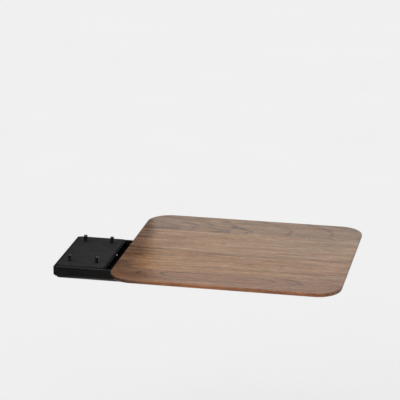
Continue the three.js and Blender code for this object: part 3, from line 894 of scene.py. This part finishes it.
def bolt_mesh(name, x, y, low, high, seat, spin):
    """A hexagon bolt with its head down: a dished, chamfered head, then the threaded shank.

    The chamfer is a cone: its height over the face = (radius - face) tan(slope).
    """
    turn = np.linspace(0, 2 * pi, ring_sides, endpoint=False)
    hexed = hexagon(turn, bolt_flats)
    circle = np.ones(ring_sides)
    rows = [
        (dish_middle * circle, (low + dish_depth) * circle),
        (dish_floor * circle, (low + dish_depth) * circle),
        (dish_rim * circle, low * circle),
        (bolt_face * circle, low * circle),
        (hexed, low + (hexed - bolt_face) * tan(bolt_slope)),
        (hexed, (seat - bolt_ease_down) * circle),
        (hexed - bolt_ease_in, seat * circle),
        (bolt_neck * circle, seat * circle),
    ]
    return headed(name, x, y, spin, rows, *shank(seat + above_seat, high, bolt_major, bolt_pitch, bolt_tip))


print("bolts are", round(bolt_flats / mm, 2), "mm across the flats")

# %% Board screws
screw_major, screw_pitch, screw_tip = 3 * mm, 1 * mm, 0.7 * mm
screw_rim = 5.25 * mm
screw_neck = 3.2 * mm
socket_flats = 4 * mm
socket_sharpness = 90
socket_depth = 2 * mm
socket_lip = 0.18 * mm
lip_depth = 0.2 * mm
socket_ease_in, socket_ease_up = 0.15 * mm, 0.1 * mm
point_reach, point_depth = 0.4 * mm, 0.45 * mm


def screw_mesh(name, x, y, low, high, seat, spin):
    """A button-head screw with its head down: a hexagon socket, an elliptic dome, then the shank.

    The dome's height = seat - dome * the root of (1 - (radius / rim) squared).
    """
    turn = np.linspace(0, 2 * pi, ring_sides, endpoint=False)
    hexed = hexagon(turn, socket_flats, socket_sharpness)
    circle = np.ones(ring_sides)
    dome = seat - low

    def crown(radius):
        return seat - dome * np.sqrt(np.clip(1 - (radius / screw_rim) ** 2, 0, 1))

    floor_level = low + socket_depth
    lip = hexed + socket_lip
    rows = [
        (point_reach * circle, (floor_level + point_depth) * circle),
        (hexed - socket_ease_in, floor_level * circle),
        (hexed, (floor_level - socket_ease_up) * circle),
        (hexed, crown(lip) + lip_depth),
        (lip, crown(lip)),
    ]
    share = np.sin(np.linspace(0.12, 1, 12) * pi / 2)[:, None]
    radii = lip * (1 - share) + screw_rim * share
    rows += [*zip(radii, crown(radii))]
    rows += [(screw_neck * circle, seat * circle)]
    return headed(name, x, y, spin, rows,
                  *shank(seat + above_seat, high, screw_major, screw_pitch, screw_tip))


print("screws have heads of", round(2 * screw_rim / mm, 2), "mm")

# %% Washers
def washer_section(inner, outer, low, high, ease, steps=4):
    """A washer's section as (radius, height) points round a rectangle with rounded corners."""
    turn = np.linspace(0, pi / 2, steps + 1)
    angle = np.concatenate([turn + k * pi / 2 for k in range(4)])
    across = np.repeat([outer - ease, inner + ease, inner + ease, outer - ease], steps + 1)
    level = np.repeat([high - ease, high - ease, low + ease, low + ease], steps + 1)
    return np.stack([across + ease * np.cos(angle), level + ease * np.sin(angle)], -1)


def washer_mesh(name, x, y, section, sides=96):
    """A flat washer: its section turned round a full circle."""
    radii = np.repeat(section[:, :1], sides, 1)
    return lofted(name, stacked(x, y, 0, radii, section[:, 1:]), looped=True)


def spring_mesh(name, x, y, section, split, slant, spin, stations=90):
    """A spring washer: its section carried round from one side of a split to the other.

    Each point's angle leans with its height by tan(slant) over the radius, so the ends are slanting.
    """
    middle = section[:, 1].mean()
    radius = section[:, 0].mean()
    gap = split / 2 / radius
    turn = np.linspace(gap, 2 * pi - gap, stations)[:, None] + spin
    turn = turn + (section[:, 1] - middle) * tan(slant) / radius
    points = [x + section[:, 0] * np.cos(turn), y + section[:, 0] * np.sin(turn),
              np.broadcast_to(section[:, 1], turn.shape)]
    return lofted(name, np.stack(points, -1))


print("washer forms ready")

# %% Build the seat hardware
clearance = 0.3 * mm
washer_bore = 4.3 * mm
flat_rim = 8 * mm
spring_rim = 6.9 * mm
flat_ease = 0.25 * mm
spring_ease = 0.2 * mm
spring_split = 1.4 * mm
spring_slant = radians(20)
bolt_spins = (0.1, 0.62, 0.35, 0.8)
bolt_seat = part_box("rail_lock_washer_1")[0].z - clearance
for n, spin in enumerate(bolt_spins, 1):
    x, y = middle_of(f"rail_bolt_{n}")
    low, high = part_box(f"rail_bolt_{n}")
    mesh = bolt_mesh(f"bolt_{n}", x, y, low.z, high.z, bolt_seat, spin)
    add_piece(f"bolt_{n}", mesh, zinc, "black_zinc", f"rail_bolt_{n}")
    low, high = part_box(f"rail_washer_{n}")
    x, y = middle_of(f"rail_washer_{n}")
    section = washer_section(washer_bore, flat_rim, low.z, high.z, flat_ease)
    add_piece(f"flat_washer_{n}", washer_mesh(f"flat_washer_{n}", x, y, section), zinc, "black_zinc",
              f"rail_washer_{n}")
    low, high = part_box(f"rail_lock_washer_{n}")
    section = washer_section(washer_bore, spring_rim, low.z, high.z, spring_ease, 3)
    ring = spring_mesh(f"spring_washer_{n}", x, y, section, spring_split, spring_slant, spin * 4)
    add_piece(f"spring_washer_{n}", ring, zinc, "black_zinc", f"rail_lock_washer_{n}")

# %% Build the board hardware
wide_bore = 3.3 * mm
wide_rim = 9 * mm
screw_spins = (0.2, 0.5, 0.05, 0.9, 0.33, 0.7)
for n, spin in enumerate(screw_spins, 1):
    low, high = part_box(f"board_washer_{n}")
    x, y = middle_of(f"board_washer_{n}")
    section = washer_section(wide_bore, wide_rim, low.z, high.z, flat_ease)
    add_piece(f"wide_washer_{n}", washer_mesh(f"wide_washer_{n}", x, y, section), black_oxide, "black_screw",
              f"board_washer_{n}")
    seat = low.z - clearance
    low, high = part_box(f"board_screw_{n}")
    mesh = screw_mesh(f"screw_{n}", x, y, low.z, high.z, seat, spin)
    add_piece(f"screw_{n}", mesh, black_oxide, "black_screw", f"board_screw_{n}")
